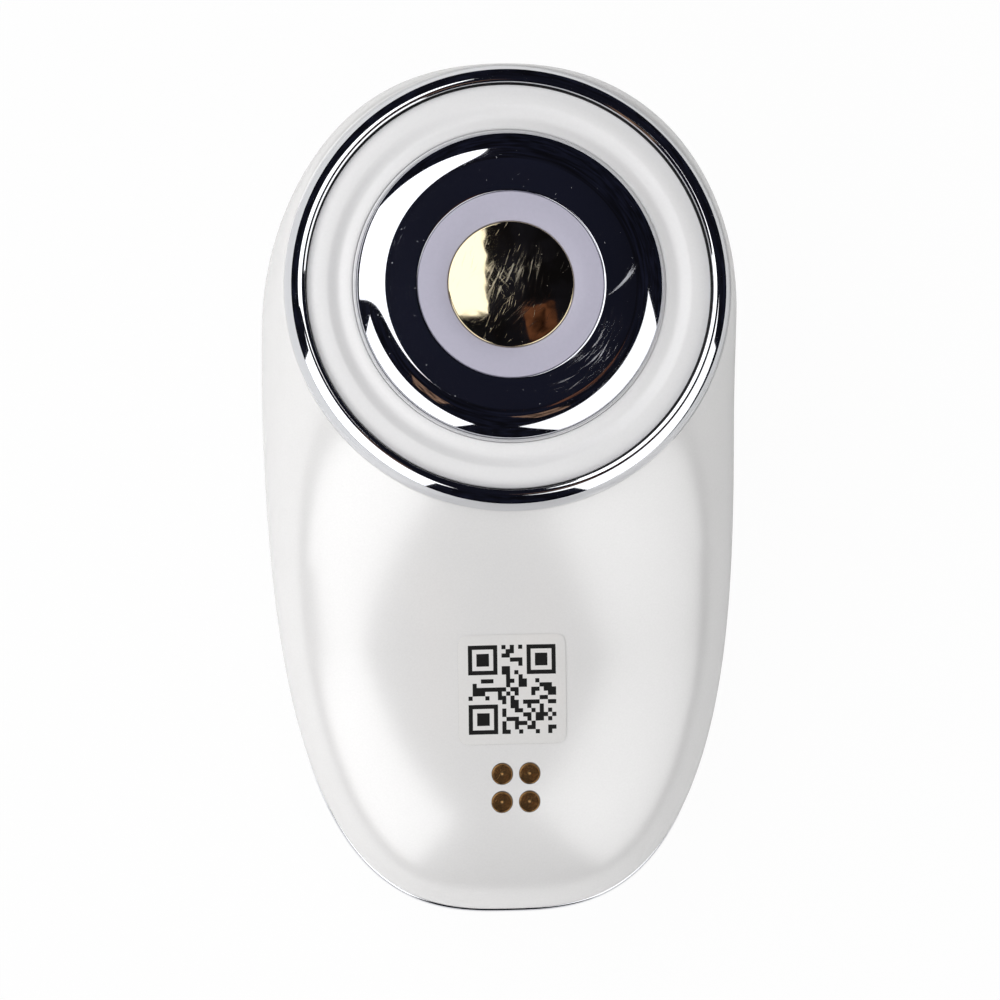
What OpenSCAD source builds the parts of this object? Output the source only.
// Facial toning device, lying on its back.
// +Z is the treatment side, +Y points to the treatment head, X is the width.
// The origin is under the middle of the body, on the surface that it rests on.

/* [Body] */
// Overall length, chrome band included
body_l = 105.2; // [96:0.2:116]
// Overall width
body_w = 59.5; // [56:0.5:66]
// Distance from the head end to the widest line
widest_setback = 31.4; // [28:0.2:40]
// Height of the crown of the palm body
crown_z = 31; // [29:0.5:32]
// Height of the parting plane between the shells
part_z = 14; // [13:0.5:16]
// Height of the body's widest line at the head end
shoulder_z = 31; // [26:0.5:31.5]
// Distance from the head end to where the widest line starts to climb
climb_setback = 44.4; // [38:0.2:50]
// Length over which the widest line climbs
climb_l = 37.4; // [30:0.2:44]
// How far the skirt draws in below the widest line at the head
undercut = 0.8; // [0.4:0.1:1.6]
// Wall thickness of both shells
wall = 2; // [1.6:0.1:2.3]
// How far the rounding of the back reaches in from its edge
back_round = 15; // [12:0.5:17]
// Visible height of the chrome band
trim_h = 0.9; // [0.6:0.1:1.2]
// How far the chrome band stands out of the shells
trim_proud = 0.3; // [0.1:0.1:0.5]
// Width of the chrome band's seat on the shell rims
trim_seat = 1.2; // [0.9:0.1:1.3]

/* [Treatment head] */
// Distance from the chrome bezel to the body's side
bezel_side = 1.75; // [1.4:0.05:3]
// Distance from the bezel to the head end of the body
head_margin = 0.4; // [0.3:0.1:1]
// Height at which the bezel sits on the neck
neck_z = 33.8; // [33:0.2:35]
// Height of the bezel above the neck
bezel_h = 2.7; // [2:0.1:3.2]
// Radial width of the bezel
bezel_w = 2.4; // [2:0.1:2.8]
// Radial width of the dark seal inside the bezel
seal_w = 0.2; // [0.15:0.05:0.4]
// Reach of the flare from the neck into the body
flare = 20; // [12:0.5:24]
// Outer radius of the plain rim around the ring electrode
rim_r = 19.6; // [19.2:0.1:20.3]
// Radial width of the plain rim
rim_w = 0.4; // [0.3:0.1:0.8]
// Height of the swell of the surround above its groove
groove_depth = 0.9; // [0.5:0.1:1]
// Height of the electrodes above the neck
dome_h = 4.2; // [3.8:0.1:4.8]
// Width of the rolled edge of the ring electrode
roll_w = 3.5; // [2.5:0.1:4.2]
// Drop of the rolled edge of the ring electrode
roll_h = 1.25; // [0.9:0.05:1.5]
// Outer radius of the insulating ring
insulator_r = 11.65; // [11:0.05:12.5]
// Radius of the centre electrode
centre_r = 7.9; // [7:0.1:9]
// Thickness of the electrode carrier's plate
carrier_t = 1.6; // [1.2:0.1:1.8]
// Thickness of the head board
head_board_t = 1.2; // [0.8:0.1:1.6]

/* [Charging contacts] */
// Distance from the tail end to the middle of the four contacts
contact_setback = 14.5; // [13:0.1:16]
// Distance between neighbouring contacts
contact_pitch = 3.45; // [3.2:0.05:4]
// Radius of a contact
contact_r = 1.3; // [1:0.05:1.4]
// Thickness of a contact's disc
contact_t = 0.9; // [0.6:0.1:1.2]
// Radius of a holding magnet
magnet_r = 2.4; // [2:0.1:2.6]
// Thickness of a holding magnet
magnet_t = 2; // [1.5:0.1:2.4]

/* [Power button] */
// Distance from the head end to the middle of the button
button_setback = 44; // [42:0.5:47]
// Radius of the button cap
button_r = 7.8; // [6.5:0.1:8.5]
// Travel of the button
button_travel = 0.4; // [0.2:0.05:0.6]
// Recess of the button's face above the surface that the body rests on
button_recess = 0.75; // [0.6:0.05:1]
// Radius of the thumb dish
dish_r = 11; // [10:0.25:12]
// Depth of the thumb dish
dish_depth = 1.3; // [1.1:0.05:1.5]

/* [Inside] */
// Width of the main board on each side of the battery
board_side = 3; // [2.6:0.1:4]
// Distance from the head end to the main board
board_head_gap = 19.5; // [18.5:0.5:24]
// Distance from the tail end to the main board
board_tail_gap = 19.7; // [18.7:0.5:26]
// Thickness of the main board
board_t = 1.2; // [0.8:0.1:1.6]
// Height of the main board's underside
board_z = 7.4; // [7.2:0.1:8]
// Space for components between the main board and the chassis
board_space = 2.4; // [2.2:0.1:3]
// Thickness of the chassis plate
chassis_t = 1.4; // [1:0.1:1.8]
// Width of the battery
battery_w = 30; // [26:0.5:31]
// Length of the chassis beyond the battery, kept for the motor
motor_bay = 19; // [18:0.5:24]
// Thickness of the battery
battery_t = 6.5; // [5:0.1:7]
// Radius of the vibration motor
motor_r = 3; // [2.5:0.1:3.5]
// Length of the vibration motor
motor_l = 10; // [8:0.5:12]
// Radius of a wire
wire_r = 0.45; // [0.3:0.05:0.6]

/* [Label] */
// Side of the square label
label_size = 13.5; // [12:0.1:15]
// Distance from the tail end to the middle of the label
label_setback = 26.6; // [25:0.2:29]
// Sideways place of the label
label_x = -0.4; // [-1:0.1:1]
// Thickness of the label
label_t = 0.1; // [0.05:0.01:0.2]

/* [Hidden] */

sides = 80;          // facets around the body
round_sides = 96;    // facets around a true circle
gap = 0.05;          // clearance between concentric pieces
cut = 1;             // how far a cut runs past a face

// Exponents of the plan outline and of the crown's section
tail_bend = 3.1;
tail_round = 2.8;
head_bend = 1.95;
head_round = 2.35;
crown_bend = 4;
crown_round = 2.6;
side_bend = 2.2;
side_round = 2.2;
tail_drop = 3.4;
tail_ease = 1.8;
flare_fade = 2.2;    // how fast the flare of the neck dies away
fair_l = 45;         // length over which the head's round form turns into the body's hull
skirt_slope = 2;     // height of the widest line for each millimetre that the skirt draws in

y_head = body_l / 2;
y_tail = -body_l / 2 + trim_proud;
y_wide = y_head - widest_setback;
bezel_r = body_w / 2 - bezel_side;
head_y = y_head - head_margin - bezel_r;
contact_y = y_tail + contact_setback;
label_y = y_tail + label_setback;
button_y = y_head - button_setback;

// ---- body surface ----

// Half width of the outline at y, drawn in by inset
function half_width(y, inset) =
    let (half = body_w / 2 - inset,
        tail = y_tail + inset,
        head = y_head - inset)
    y <= tail || y >= head ? -1
    : y < y_wide ? half * pow(1 - pow((y_wide - y) / (y_wide - tail), tail_bend), 1 / tail_round)
    : half * pow(1 - pow((y - y_wide) / (head - y_wide), head_bend), 1 / head_round);

// Distance from the head's centre to the outline along direction a, by halving
function reach(a, inset, near = 0, far = 120, left = 36) =
    left == 0 ? near
    : let (mid = (near + far) / 2,
        inside = abs(mid * cos(a)) < half_width(head_y + mid * sin(a), inset))
    inside ? reach(a, inset, mid, far, left - 1) : reach(a, inset, near, mid, left - 1);

// How far along the body from the tail to the head's centre, 0 to 1
function along(y) = min(1, max(0, (y - y_tail) / (head_y - y_tail)));
function smooth(u) = let (v = min(1, max(0, u))) v * v * (3 - 2 * v);

// Height of the widest line, and how far the skirt draws in below it
rim_top = part_z + trim_h / 2;
rim_low = part_z - trim_h / 2;
climb_start = y_head - climb_setback;
function draw_in(y) = undercut * smooth(2 * along(y));
function equator_z(y) =
    let (base = rim_top + skirt_slope * draw_in(y), top = shoulder_z - skirt_slope * undercut)
    base + (top - rim_top) * smooth((y - climb_start) / climb_l);

neck_r = bezel_r + 0.1;
neck_open = neck_r - wall + 0.3;

// Form of the palm body over a point: 1 over its middle line and 0 at its outline
function hull_form(x, y, inset) =
    let (half = half_width(y, inset),
        across = half > 0 ? min(1, abs(x) / half) : 1,
        down = min(1, max(0, (y_wide - y) / (y_wide - y_tail - inset))))
    pow(1 - pow(across, side_bend), 1 / side_round) * pow(1 - pow(down, tail_drop), 1 / tail_ease);

// The same at distance r in direction a from the head's centre, turning into a round head
function crown_form(a, r, far, inset) =
    let (y = head_y + r * sin(a), part = smooth((head_y - y) / fair_l))
    (1 - part) * pow(max(0, 1 - pow(r / far, crown_bend)), 1 / crown_round)
        + part * hull_form(r * cos(a), y, inset);

// Height of the top surface at distance r in direction a, where the outline is at
// distance far, inset below the outer surface
function top_z(a, r, far, edge_y, inset, neck) =
    let (edge = equator_z(edge_y),
        crown = max(crown_z, edge + 2) - inset,
        bulge = crown_form(a, r, far, inset),
        neck_bulge = crown_form(a, neck, far, inset),
        rise = neck_z - inset - edge - (crown - edge) * neck_bulge,
        u = min(1, max(0, (r - neck) / min(flare, far - neck))),
        narrow = 1 - min(1, (far - neck) / flare))
    edge + (crown - edge) * bulge
        + rise * ((1 - narrow) * pow(1 - u, flare_fade) + narrow * sqrt(1 - u * u));

// Height of the outer surface over a point
function surface_z(x, y) =
    let (a = atan2(y - head_y, x), far = reach(a, 0))
    top_z(a, norm([x, y - head_y]), far, head_y + far * sin(a), 0, neck_r);

// Directions from the head's centre to points spread evenly along an oval
dirs = [for (i = [0:sides - 1])
    let (turn = i * 360 / sides)
    atan2(body_l / 2 * sin(turn) - head_y, body_w / 2 * cos(turn))];
outer_reach = [for (a = dirs) reach(a, 0)];
inner_reach = [for (a = dirs) reach(a, wall)];
edge_ys = [for (i = [0:sides - 1]) head_y + outer_reach[i] * sin(dirs[i])];
seam_reach = [for (i = [0:sides - 1]) reach(dirs[i], draw_in(edge_ys[i]))];

function at(i, r, z) = [r * cos(dirs[i]), head_y + r * sin(dirs[i]), z];
// Outline at the parting plane, drawn in by inset
function seam(inset) =
    [for (i = [0:sides - 1]) reach(dirs[i], draw_in(edge_ys[i]) + inset)];

// One row of the top surface: step 0 is the neck and step 1 the widest line
function top_row(step, far_list, inset, neck) =
    [for (i = [0:sides - 1])
        let (far = far_list[i], r = neck + (far - neck) * (1 - cos(180 * step)) / 2)
        at(i, r, top_z(dirs[i], r, far, edge_ys[i], inset, neck))];

// One row of the skirt: step 0 is the widest line and step 1 the rim
function skirt_row(step, far_list, seam_list) =
    [for (i = [0:sides - 1])
        let (edge = equator_z(edge_ys[i]))
        at(i, far_list[i] + (seam_list[i] - far_list[i]) * step * step,
            edge + (rim_top - edge) * step)];

// One row of the back: turn 90 is the rim and turn 0 the edge of the flat face
function back_row(turn, rim_list, flat_list, floor_z) =
    [for (i = [0:sides - 1])
        at(i, flat_list[i] + (rim_list[i] - flat_list[i]) * sin(turn),
            floor_z + (rim_low - floor_z) * (1 - cos(turn)))];

// Triangles between rows of equal length; closed joins the last row to the first
function band_faces(rows, closed) =
    let (last = closed ? rows - 1 : rows - 2)
    [for (j = [0:last], i = [0:sides - 1])
        let (k = (i + 1) % sides, here = j * sides, next = ((j + 1) % rows) * sides)
        for (f = [[here + i, next + k, next + i], [here + i, here + k, next + k]]) f];

module band_solid(rows) {
    polyhedron([for (row = rows) for (p = row) p], band_faces(len(rows), true), 6);
}

module bowl_solid(rows) {
    last = (len(rows) - 1) * sides;
    polyhedron([for (row = rows) for (p = row) p],
        concat(band_faces(len(rows), false),
            [[for (i = [sides - 1:-1:0]) i]],
            [[for (i = [0:sides - 1]) last + i]]), 6);
}

// Flat band that follows the seam, from inset a to inset b
module seam_band(a, b, z, h) {
    ra = seam(a);
    rb = seam(b);
    translate([0, 0, z])
        linear_extrude(h)
            difference() {
                polygon([for (i = [0:sides - 1]) [for (k = [0, 1]) at(i, ra[i], 0)[k]]]);
                polygon([for (i = [0:sides - 1]) [for (k = [0, 1]) at(i, rb[i], 0)[k]]]);
            }
}

// ---- shared shapes ----

module disc(r, z, h) {
    translate([0, 0, z]) cylinder(r = r, h = h, $fn = round_sides);
}

module tube(r_out, r_in, z, h) {
    difference() {
        disc(r_out, z, h);
        disc(r_in, z - cut, h + 2 * cut);
    }
}

module block(size, z) {
    translate([-size[0] / 2, -size[1] / 2, z]) cube(size);
}

// Rectangle with rounded corners, centred
function rounded_rect(w, l, r) =
    [for (c = [[1, 1, 0], [-1, 1, 90], [-1, -1, 180], [1, -1, 270]], a = [0:15:90])
        [c[0] * (w / 2 - r) + r * cos(c[2] + a), c[1] * (l / 2 - r) + r * sin(c[2] + a)]];

module plate(w, l, r, z, h) {
    translate([0, 0, z]) linear_extrude(h) polygon(rounded_rect(w, l, r));
}

// Machine screw with its head's underside at z, pointing along way (1 up, -1 down)
module screw(z, shank, way) {
    translate([0, 0, z])
        rotate([way > 0 ? 0 : 180, 0, 0]) {
            difference() {
                disc(screw_head_r, -screw_head_h, screw_head_h);
                for (a = [0, 90])
                    rotate([0, 0, a]) block([screw_head_r * 1.2, 0.35, 0.5 + cut], -screw_head_h - cut);
            }
            disc(screw_r, -0.2, shank + 0.2);
        }
}

function unit(v) = v / norm(v);

// Ring of 8 points around p, square to the direction d
function wire_ring(p, d) =
    let (u = unit(cross(d, [1, 1, 1])), v = cross(d, u))
    [for (a = [0:45:315]) p + wire_r * (cos(a) * u + sin(a) * v)];

// Round wire along a route of points
module wire(route) {
    n = len(route) - 1;
    ways = [for (i = [0:n - 1]) unit(route[i + 1] - route[i])];
    rings = [for (i = [0:n])
        wire_ring(route[i], i == 0 ? ways[0] : i == n ? ways[n - 1] : unit(ways[i - 1] + ways[i]))];
    polyhedron([for (ring = rings) for (p = ring) p],
        concat([for (j = [0:n - 1], i = [0:7])
                let (k = (i + 1) % 8, a = 8 * j, b = a + 8)
                for (f = [[a + i, b + i, b + k], [a + i, b + k, a + k]]) f],
            [[for (i = [0:7]) i]],
            [[for (i = [7:-1:0]) 8 * n + i]]), 4);
}

// ---- sizes that follow from the ones above ----

screw_r = 0.75;
screw_head_r = 1.4;
screw_head_h = 0.9;
screw_bite = 3;
pilot_r = 0.8;
boss_r = 2.4;
chip_t = 0.9;

// Treatment head stack
seal_out = bezel_r - bezel_w - gap;
seal_in = seal_out - seal_w;
dish_out = seal_in - gap;
dish_in = rim_r + gap;
ring_out = rim_r - rim_w - gap;
ring_in = insulator_r + gap;
shelf_z = neck_z - wall - 0.2;
shelf_t = 1.8;
shelf_in = dish_out - 3.4;
flange_t = 1.2;
flange_z = shelf_z + flange_t;
carrier_r = ring_out - 1.4;
plate_z = neck_z + 1.6;
dome_z = neck_z + dome_h;
head_board_top = shelf_z + 0.4;
head_board_z = head_board_top - head_board_t;
head_board_r = carrier_r - 2.35;
post_circle = head_board_r - 3.4;
post_r = 1.7;
spring_circle = head_board_r - 1.1;
spring_r = 0.7;
spring_hole_r = spring_r + 0.15;
carrier_screw_circle = shelf_in + 1.8;

// Charging contacts
contact_sink = 0.4;
function contact_top(y) = surface_z(0, y) - contact_sink;
contact_rows = [contact_y - contact_pitch / 2, contact_y + contact_pitch / 2];
contact_side = contact_pitch + 2 * contact_r + 2.4;
contact_pad_z = surface_z(contact_side / 2, contact_y - contact_side / 2) - wall - 0.8;
gasket_t = 0.5;
holder_t = 2;
holder_z = contact_pad_z - gasket_t - holder_t;
charge_board_t = 1;
charge_board_z = holder_z - charge_board_t;
contact_tail_r = 0.6;
magnet_x = contact_side / 2 + magnet_r + 0.4;
board_step = 1.6;    // distance of the charge board's screws from the contact block
board_end = 0.9;
board_shift = 1.5;   // shift of the charge board towards its screws
board_corner = 2;
charge_board_w = 2 * magnet_x + 2 * magnet_r;
charge_board_l = contact_side + 2 * board_step + 2 * board_end;
charge_screw_x = magnet_x;
charge_screw_y = contact_y + contact_side / 2 + board_step;
charge_post_top = surface_z(charge_screw_x, charge_screw_y) - 0.9;

// Boards, chassis and battery
board_w = battery_w + 2 * board_side;
board_l = body_l - board_head_gap - board_tail_gap;
board_y = y_head - board_head_gap - board_l / 2;
leg_x = battery_w / 2 - 1.7;
leg_end = board_l / 2 - 6;
leg_ys = [board_y - leg_end, board_y + leg_end];
screw_end = board_l / 2 - 4;
board_screw_ys = [board_y - screw_end, board_y + screw_end];
chassis_z = board_z + board_t + board_space;
chassis_w = battery_w + 1.6;
chassis_l = board_l - 5;
battery_l = chassis_l - motor_bay;
pad_t = screw_head_h + 0.1;
pad_z = chassis_z + chassis_t;
battery_z = pad_z + pad_t;
battery_y = board_y - chassis_l / 2 + battery_l / 2 + 1.6;
motor_y = battery_y + battery_l / 2 + 11;
pad_side = 2;
pad_end = 7;
lead_step = 1.6;
lead_sink = 5;
motor_z = pad_z + motor_r + 0.8;
motor_shaft_r = 0.5;
shaft_in = 4;
weight_t = 3;
weight_r = motor_r - 0.3;
lead_x = board_w / 2 - 1.4;

// Power button
button_hole_r = button_r + 0.15;
ledge_z = 2.6;
flange_r = button_r + 1.1;
pocket_r = flange_r + 0.2;
flange_h = 0.8;
stem_r = 2.2;
switch_h = 3;
switch_side = 6;
switch_z = board_z - switch_h;
plunger_r = 1.7;
plunger_low = switch_z - button_travel - 0.15;
seal_low = ledge_z + flange_h + button_travel + 0.1;
seal_t = 0.5;
seal_in_r = 4.2;
light_y = button_y + dish_r + 3;
light_r = 0.9;
led_h = 0.7;

// ---- casing ----

module front_shell() {
    steps = [for (j = [0:14]) j / 14];
    inner_steps = [for (j = [9:-1:0]) j / 9];
    inner_neck = neck_open - 0.2;
    seam_in = seam(wall);
    rows = concat(
        [for (s = steps) top_row(s, outer_reach, 0, neck_r)],
        [for (s = [0.35, 0.7, 1]) skirt_row(s, outer_reach, seam_reach)],
        [for (s = [1, 0.5]) skirt_row(s, inner_reach, seam_in)],
        [for (s = inner_steps) top_row(s, inner_reach, wall, inner_neck)],
        [[for (i = [0:sides - 1]) at(i, inner_neck, neck_z)]]);
    color("white")
        difference() {
            union() {
                band_solid(rows);
                translate([0, head_y, 0]) tube(neck_r - 0.9, shelf_in, shelf_z - shelf_t, shelf_t);
                translate([0, contact_y, 0])
                    plate(contact_side, contact_side, 1.5, contact_pad_z,
                        contact_top(contact_rows[0]) - contact_pad_z - 0.6);
                for (s = [-1, 1])
                    translate([s * charge_screw_x, charge_screw_y, 0])
                        disc(post_r, charge_board_z + charge_board_t,
                            charge_post_top - charge_board_z - charge_board_t);
            }
            translate([0, head_y, 0]) {
                disc(neck_open, shelf_z, neck_z);
                for (a = [45:90:315])
                    rotate([0, 0, a]) translate([carrier_screw_circle, 0, 0])
                        disc(pilot_r, shelf_z - shelf_t - cut, shelf_t + 2 * cut);
            }
            for (x = [-1, 1], y = contact_rows)
                translate([x * contact_pitch / 2, y, 0])
                    disc(contact_r + gap, contact_pad_z - cut, crown_z - contact_pad_z);
            for (s = [-1, 1])
                translate([s * charge_screw_x, charge_screw_y, 0])
                    disc(pilot_r, charge_board_z, charge_board_t + screw_bite + 0.2);
        }
}

module rear_shell() {
    rim_in = seam(wall);
    flat_out = seam(back_round);
    flat_in = seam(back_round + wall * 0.3);
    rows = concat(
        [for (b = [0:15:90]) back_row(b, rim_in, flat_in, wall)],
        [for (k = [8:-1:0]) back_row(k * 90 / 8, seam_reach, flat_out, 0)]);
    ball_r = (dish_r * dish_r + dish_depth * dish_depth) / (2 * dish_depth);
    color("whitesmoke")
        difference() {
            union() {
                bowl_solid(rows);
                translate([0, button_y, 0]) disc(pocket_r + 1.3, wall * 0.7, seal_low - wall * 0.7);
                for (x = [-leg_x, leg_x], y = leg_ys)
                    translate([x, y, 0]) disc(boss_r, wall * 0.9, board_z - wall * 0.9);
                for (y = board_screw_ys)
                    translate([0, y, 0]) disc(boss_r, wall * 0.9, board_z - wall * 0.9);
            }
            translate([0, button_y, 0]) {
                translate([0, 0, dish_depth - ball_r]) sphere(r = ball_r, $fn = round_sides);
                disc(button_hole_r, -cut, board_z);
                disc(pocket_r, ledge_z, board_z);
            }
            translate([0, light_y, 0]) disc(light_r + gap, -cut, board_z);
            for (x = [-leg_x, leg_x], y = leg_ys)
                translate([x, y, 0]) disc(pilot_r, wall + 1, board_z);
            for (y = board_screw_ys)
                translate([0, y, 0]) disc(pilot_r, wall + 1, board_z);
        }
}

module trim_band() {
    color("silver") seam_band(-trim_proud, trim_seat, rim_low, trim_h);
}

module parting_gasket() {
    color("dimgray") seam_band(trim_seat + gap, wall - gap, rim_low, trim_h);
}

// ---- treatment head ----

module head_bezel() {
    top = neck_z + bezel_h;
    in = bezel_r - bezel_w;
    crest = in + 0.43;
    round = 0.75;
    shoulder = bezel_r - 0.7;
    color("silver")
        translate([0, head_y, 0])
            rotate_extrude($fn = round_sides)
                polygon(concat(
                    [[in, shelf_z + flange_t + gap], [neck_open - gap, shelf_z + flange_t + gap],
                        [neck_open - gap, neck_z], [bezel_r, neck_z], [bezel_r, neck_z + 0.2],
                        [shoulder, top - 0.77]],
                    [for (a = [36:-7:-20]) [crest + round * sin(a), top - round * (1 - cos(a))]],
                    [[in, top - 0.2]]));
}

module head_seal() {
    color("black")
        translate([0, head_y, 0]) tube(seal_out, seal_in, flange_z + gap, neck_z + 1.1 - flange_z);
}

// Form of the surround from its inner edge, 0, to its outer edge, 1: a lip, a groove and a swell
function swell(u) =
    u < 0.27 ? 0.6 * (1 - smooth((u - 0.05) / 0.22))
    : u < 0.655 ? 0.8 * smooth((u - 0.27) / 0.385)
    : 0.8 * (1 - pow((u - 0.655) / 0.345, 2));

module surround_dish() {
    span = dish_out - dish_in;
    face = neck_z + 1.55;
    lift = groove_depth;
    color("snow")
        translate([0, head_y, 0])
            rotate_extrude($fn = round_sides)
                polygon(concat(
                    [[dish_in, flange_z], [dish_out, flange_z], [dish_out, face]],
                    [for (u = [0.97:-0.07:0.06]) [dish_in + u * span, face + lift * swell(u)]],
                    [[dish_in + 0.12, face + 0.5 * lift], [dish_in, face + 0.2]]));
}

module electrode_rim() {
    color("gainsboro")
        translate([0, head_y, 0]) tube(rim_r, rim_r - rim_w, flange_z, neck_z + 2.2 - flange_z);
}

module outer_electrode() {
    roll_start = ring_out - roll_w;
    skirt_in = carrier_r + gap;
    edge_z = dome_z - 0.03;
    round = (roll_w * roll_w + roll_h * roll_h) / (2 * roll_h);
    color("lightslategray")
        translate([0, head_y, 0])
            rotate_extrude($fn = round_sides)
                polygon(concat(
                    [[ring_in, plate_z], [skirt_in, plate_z], [skirt_in, flange_z], [ring_out, flange_z]],
                    [for (k = [8:-1:0])
                        let (a = asin(roll_w / round) * k / 8)
                        [roll_start + round * sin(a), edge_z - round * (1 - cos(a))]],
                    [[ring_in + 0.15, dome_z], [ring_in, dome_z - 0.15]]));
}

module insulator_ring() {
    color("thistle")
        translate([0, head_y, 0])
            tube(insulator_r, centre_r + gap, plate_z, dome_z - 0.12 - plate_z);
}

module centre_electrode() {
    lip = 0.2;
    color("gold")
        translate([0, head_y, 0])
            rotate_extrude($fn = round_sides)
                polygon([[0, plate_z], [centre_r, plate_z], [centre_r, dome_z - lip],
                    [centre_r - lip, dome_z], [centre_r * 0.75, dome_z + 0.13],
                    [centre_r * 0.5, dome_z + 0.22], [0, dome_z + 0.3]]);
}

module electrode_carrier() {
    pocket = head_board_r + 0.6;
    color("ivory")
        translate([0, head_y, 0])
            difference() {
                union() {
                    disc(carrier_r, shelf_z, plate_z - shelf_z);
                    disc(dish_out, shelf_z, flange_t);
                }
                difference() {
                    disc(pocket, shelf_z - cut, plate_z - carrier_t - shelf_z + cut);
                    for (a = [30:120:270])
                        rotate([0, 0, a]) translate([post_circle, 0, 0])
                            disc(post_r, head_board_top, plate_z - head_board_top);
                }
                for (a = [30:120:270])
                    rotate([0, 0, a]) translate([post_circle, 0, 0])
                        disc(pilot_r, head_board_top - cut, plate_z - head_board_top + 0.5);
                for (a = [45:90:315])
                    rotate([0, 0, a]) translate([carrier_screw_circle, 0, 0])
                        disc(pilot_r, shelf_z - cut, cut + flange_t * 0.85);
                for (x = [-spring_circle, 0, spring_circle])
                    translate([x, 0, 0]) disc(spring_hole_r, shelf_z - cut, plate_z - shelf_z + 2 * cut);
            }
}

module carrier_screws() {
    color("gray")
        translate([0, head_y, 0])
            for (a = [45:90:315])
                rotate([0, 0, a]) translate([carrier_screw_circle, 0, 0])
                    screw(shelf_z - shelf_t, shelf_t + flange_t * 0.8, 1);
}

module contact_springs() {
    color("gold")
        translate([0, head_y, 0])
            for (x = [-spring_circle, 0, spring_circle])
                translate([x, 0, 0]) disc(spring_r, head_board_top, plate_z - head_board_top);
}

module head_board() {
    color("darkgreen")
        translate([0, head_y, 0])
            difference() {
                disc(head_board_r, head_board_z, head_board_t);
                for (a = [30:120:270])
                    rotate([0, 0, a]) translate([post_circle, 0, 0])
                        disc(pilot_r, head_board_z - cut, head_board_t + 2 * cut);
            }
}

module head_chips() {
    // Place and size of each chip, in head board radii
    chips = [[-0.33, 0.13, 0.32, 0.26], [0.26, 0.39, 0.2, 0.13],
        [0.26, -0.13, 0.26, 0.26], [-0.33, -0.39, 0.2, 0.13]];
    color("dimgray")
        translate([0, head_y, 0]) {
            for (p = head_board_r * chips)
                translate([p[0], p[1], 0]) block([p[2], p[3], chip_t], head_board_z - chip_t);
        }
}

module head_board_screws() {
    color("gray")
        translate([0, head_y, 0])
            for (a = [30:120:270])
                rotate([0, 0, a]) translate([post_circle, 0, 0])
                    screw(head_board_z, head_board_t + screw_bite / 2, 1);
}

// ---- inside ----

module chassis() {
    leg_h = board_space;
    fence_h = 2.4;
    color("lightgray")
        difference() {
            union() {
                translate([0, board_y, 0]) plate(chassis_w, chassis_l, 3, chassis_z, chassis_t);
                for (x = [-leg_x, leg_x], y = leg_ys)
                    translate([x, y, 0]) disc(boss_r, chassis_z - leg_h, leg_h);
                for (s = [-1, 1])
                    translate([s * (battery_w / 2 + 0.45), battery_y, 0])
                        block([0.7, battery_l * 0.6, fence_h + 0.2], pad_z - 0.2);
                translate([0, battery_y + battery_l / 2 + 0.7, 0])
                    block([battery_w * 0.5, 0.8, fence_h + 0.2], pad_z - 0.2);
                for (s = [-1, 1])
                    translate([s * motor_l * 0.3, motor_y, 0])
                        block([1.4, 2 * motor_r + 2.4, motor_z - pad_z + 0.2], pad_z - 0.2);
            }
            for (x = [-leg_x, leg_x], y = leg_ys)
                translate([x, y, 0])
                    disc(pilot_r, chassis_z - leg_h - cut, leg_h + chassis_t + 2 * cut);
            translate([-motor_l, motor_y, motor_z])
                rotate([0, 90, 0]) cylinder(r = motor_r + gap, h = 2 * motor_l, $fn = round_sides);
        }
}

module chassis_screws() {
    color("gray")
        for (x = [-leg_x, leg_x], y = leg_ys)
            translate([x, y, 0]) screw(pad_z, chassis_t + board_space + board_t + screw_bite, -1);
}

module battery() {
    color("lightsteelblue")
        translate([0, battery_y, 0]) plate(battery_w, battery_l, 1.5, battery_z, battery_t);
}

module battery_pad() {
    color("dimgray")
        translate([0, battery_y, 0])
            plate(battery_w - 2 * pad_side, battery_l - 2 * pad_end, 1, pad_z, pad_t);
}

module battery_leads() {
    y0 = battery_y + battery_l / 2;
    color("crimson")
        for (k = [0, 1])
            let (x = battery_w / 6 - lead_step * k,
                y = y0 + lead_step * (k + 1.5),
                z = battery_z + battery_t * 0.7)
            wire([[x, y0, z], [x, y, z], [lead_x, y, z - 1], [lead_x, y, board_z + board_t]]);
}

module head_leads() {
    color("royalblue")
        for (k = [0, 1])
            let (x = head_board_r * 0.62, y = head_y + 1 + lead_step * k)
            wire([[x, y, head_board_z], [x, y, head_board_z - lead_sink / 2],
                [lead_x, y, head_board_z - lead_sink], [lead_x, y, board_z + board_t]]);
}

module main_board() {
    color("green")
        difference() {
            translate([0, board_y, 0]) plate(board_w, board_l, 9, board_z, board_t);
            for (x = [-leg_x, leg_x], y = leg_ys)
                translate([x, y, 0]) disc(pilot_r, board_z - cut, board_t + 2 * cut);
            for (y = board_screw_ys)
                translate([0, y, 0]) disc(pilot_r, board_z - cut, board_t + 2 * cut);
        }
}

module board_chips() {
    // Place and size of each chip, in board widths, board lengths and clear heights
    chips = [[0, -0.18, 0.22, 0.12, 0.5], [-0.25, -0.03, 0.14, 0.076, 0.42],
        [0.25, -0.03, 0.17, 0.06, 0.58], [0, 0.06, 0.11, 0.045, 0.42],
        [-0.22, 0.18, 0.195, 0.106, 0.75], [0.22, 0.18, 0.11, 0.09, 0.5],
        [0, -0.33, 0.14, 0.045, 0.42]];
    color("dimgray")
        for (c = chips)
            translate([c[0] * board_w, board_y + c[1] * board_l, 0])
                block([c[2] * board_w, c[3] * board_l, c[4] * board_space], board_z + board_t);
}

module board_screws() {
    color("gray")
        for (y = board_screw_ys)
            translate([0, y, 0]) screw(board_z + board_t, board_t + screw_bite, -1);
}

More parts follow.
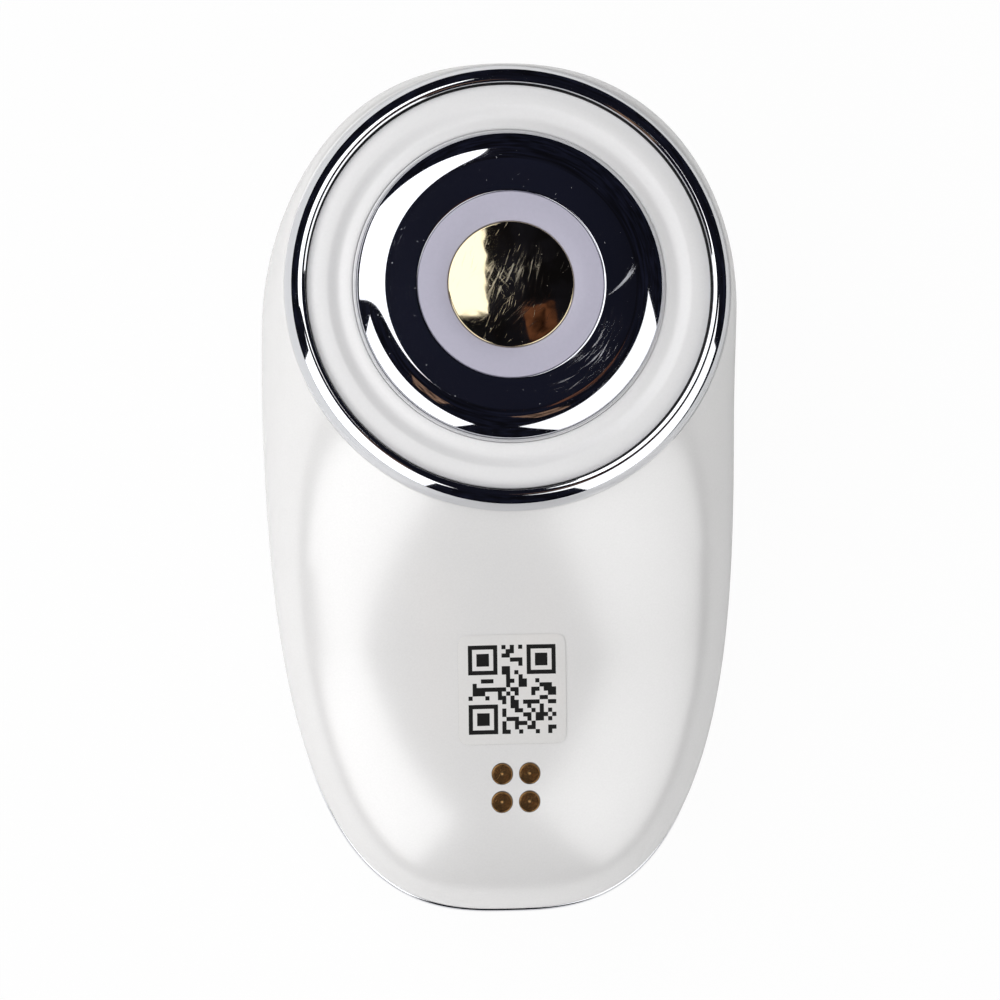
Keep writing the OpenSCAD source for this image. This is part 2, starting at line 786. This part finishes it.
module vibration_motor() {
    color("silver")
        translate([-motor_l / 2, motor_y, motor_z])
            rotate([0, 90, 0])
                difference() {
                    cylinder(r = motor_r, h = motor_l, $fn = round_sides);
                    translate([0, 0, motor_l - shaft_in])
                        cylinder(r = motor_shaft_r + 0.03, h = shaft_in + cut, $fn = round_sides);
                }
}

module motor_weight() {
    color("dimgray")
        translate([motor_l / 2, motor_y, motor_z])
            rotate([0, 90, 0])
                union() {
                    translate([0, 0, 0.4 - shaft_in])
                        cylinder(r = motor_shaft_r, h = shaft_in + 0.4 + weight_t, $fn = round_sides);
                    difference() {
                        translate([0, 0, 0.6]) cylinder(r = weight_r, h = weight_t, $fn = round_sides);
                        translate([-2 * weight_r - 0.7, -weight_r, 0])
                            cube([2 * weight_r, 2 * weight_r, weight_t + 1]);
                    }
                }
}

module motor_leads() {
    color("orange")
        for (k = [-1, 1])
            let (x0 = -motor_l / 2, y = motor_y + 1.1 * k)
            wire([[x0, y, motor_z], [x0 - lead_sink, y, motor_z], [-lead_x, y, motor_z - 1],
                [-lead_x, y, board_z + board_t]]);
}

// ---- charging contacts ----

module charge_contacts() {
    color("goldenrod")
        for (x = [-1, 1], y = contact_rows)
            translate([x * contact_pitch / 2, y, 0]) {
                difference() {
                    disc(contact_r, contact_top(y) - contact_t, contact_t);
                    tube(contact_r * 0.72, contact_r * 0.6, contact_top(y) - 0.08, 1);
                    tube(contact_r * 0.42, contact_r * 0.3, contact_top(y) - 0.08, 1);
                }
                disc(contact_tail_r, charge_board_z + charge_board_t,
                    contact_top(y) - contact_t - charge_board_z - charge_board_t);
            }
}

module contact_holder() {
    color("black")
        difference() {
            translate([0, contact_y, 0]) plate(contact_side, contact_side, 1.5, holder_z, holder_t);
            for (x = [-1, 1], y = contact_rows)
                translate([x * contact_pitch / 2, y, 0])
                    disc(contact_tail_r + gap, holder_z - cut, holder_t + 2 * cut);
        }
}

module contact_gasket() {
    color("dimgray")
        difference() {
            translate([0, contact_y, 0])
                plate(contact_side, contact_side, 1.5, holder_z + holder_t, gasket_t);
            for (x = [-1, 1], y = contact_rows)
                translate([x * contact_pitch / 2, y, 0])
                    disc(contact_tail_r + gap, holder_z, holder_t + gasket_t + cut);
        }
}

module charge_magnets() {
    color("silver")
        for (s = [-1, 1])
            translate([s * magnet_x, contact_y - 1, 0])
                disc(magnet_r, charge_board_z + charge_board_t, magnet_t);
}

module charge_board() {
    color("darkgreen")
        difference() {
            translate([0, contact_y + board_shift, 0])
                plate(charge_board_w, charge_board_l, board_corner, charge_board_z, charge_board_t);
            for (s = [-1, 1])
                translate([s * charge_screw_x, charge_screw_y, 0])
                    disc(pilot_r, charge_board_z - cut, charge_board_t + 2 * cut);
        }
}

module charge_board_screws() {
    color("gray")
        for (s = [-1, 1])
            translate([s * charge_screw_x, charge_screw_y, 0])
                screw(charge_board_z, charge_board_t + 0.85 * screw_bite, 1);
}

module charge_leads() {
    color("royalblue")
        for (k = [-1.5:1:1.5])
            let (x = lead_step * k, y0 = contact_y + contact_r, y = board_y - board_l / 2 + lead_step)
            wire([[x, y0, charge_board_z], [x, y0, charge_board_z - lead_sink / 2],
                [x, y, charge_board_z - lead_sink], [x, y, board_z + board_t]]);
}

// ---- power button ----

module power_button() {
    color("whitesmoke")
        translate([0, button_y, 0]) {
            disc(button_r, button_recess, ledge_z - button_recess);
            disc(flange_r, ledge_z, flange_h);
            disc(stem_r, ledge_z + flange_h, plunger_low - ledge_z - flange_h);
        }
}

module button_seal() {
    color("dimgray")
        translate([0, button_y, 0]) {
            tube(pocket_r + 1.3, seal_in_r, seal_low, seal_t);
        }
}

module switch_body() {
    color("black")
        translate([0, button_y, 0])
            difference() {
                block([switch_side, switch_side, switch_h], switch_z);
                disc(plunger_r + gap, switch_z - cut, cut + 1 + button_travel + 0.3);
            }
}

module switch_plunger() {
    color("gray")
        translate([0, button_y, 0]) disc(plunger_r, plunger_low, switch_z + 1 - plunger_low);
}

module light_pipe() {
    color("aliceblue")
        translate([0, light_y, 0]) disc(light_r, 0.3, board_z - led_h - 0.3);
}

module status_led() {
    color("white")
        translate([0, light_y, 0]) block([1.6, 0.8, led_h], board_z - led_h);
}

// ---- label ----

// Clear sticker that follows the surface
module code_label() {
    n = 12;
    lift = 0.05;
    corner = 1.2;
    half = label_size / 2;
    // Point of the sticker's grid, with its corners rounded off
    function spot(i, j) =
        let (u = 2 * i / n - 1, v = 2 * j / n - 1,
            big = pow(pow(abs(u), 14) + pow(abs(v), 14), 1 / 14),
            k = big > 0 ? max(abs(u), abs(v)) / big : 1)
        [label_x + half * u * k, label_y + half * v * k];
    function idx(i, j, up) = (up * (n + 1) + j) * (n + 1) + i;
    pts = [for (up = [0, 1], j = [0:n], i = [0:n])
        let (p = spot(i, j)) [p[0], p[1], surface_z(p[0], p[1]) + lift + up * label_t]];
    top = [for (j = [0:n - 1], i = [0:n - 1])
        for (f = [[idx(i, j, 1), idx(i + 1, j + 1, 1), idx(i + 1, j, 1)],
                [idx(i, j, 1), idx(i, j + 1, 1), idx(i + 1, j + 1, 1)]]) f];
    low = [for (j = [0:n - 1], i = [0:n - 1])
        for (f = [[idx(i, j, 0), idx(i + 1, j, 0), idx(i + 1, j + 1, 0)],
                [idx(i, j, 0), idx(i + 1, j + 1, 0), idx(i, j + 1, 0)]]) f];
    border = concat([for (i = [0:n - 1]) [i, 0]], [for (j = [0:n - 1]) [n, j]],
        [for (i = [n:-1:1]) [i, n]], [for (j = [n:-1:1]) [0, j]]);
    side = [for (k = [0:len(border) - 1])
        let (a = border[k], b = border[(k + 1) % len(border)])
        for (f = [[idx(a[0], a[1], 0), idx(a[0], a[1], 1), idx(b[0], b[1], 1)],
                [idx(a[0], a[1], 0), idx(b[0], b[1], 1), idx(b[0], b[1], 0)]]) f];
    color("white") polyhedron(pts, concat(top, low, side), 6);
}

front_shell();
rear_shell();
trim_band();
parting_gasket();
head_bezel();
head_seal();
surround_dish();
electrode_rim();
outer_electrode();
insulator_ring();
centre_electrode();
electrode_carrier();
carrier_screws();
contact_springs();
head_board();
head_chips();
head_board_screws();
chassis();
chassis_screws();
battery();
battery_pad();
battery_leads();
head_leads();
main_board();
board_chips();
board_screws();
vibration_motor();
motor_weight();
motor_leads();
charge_contacts();
contact_holder();
contact_gasket();
charge_magnets();
charge_board();
charge_board_screws();
charge_leads();
power_button();
button_seal();
switch_body();
switch_plunger();
light_pipe();
status_led();
code_label();
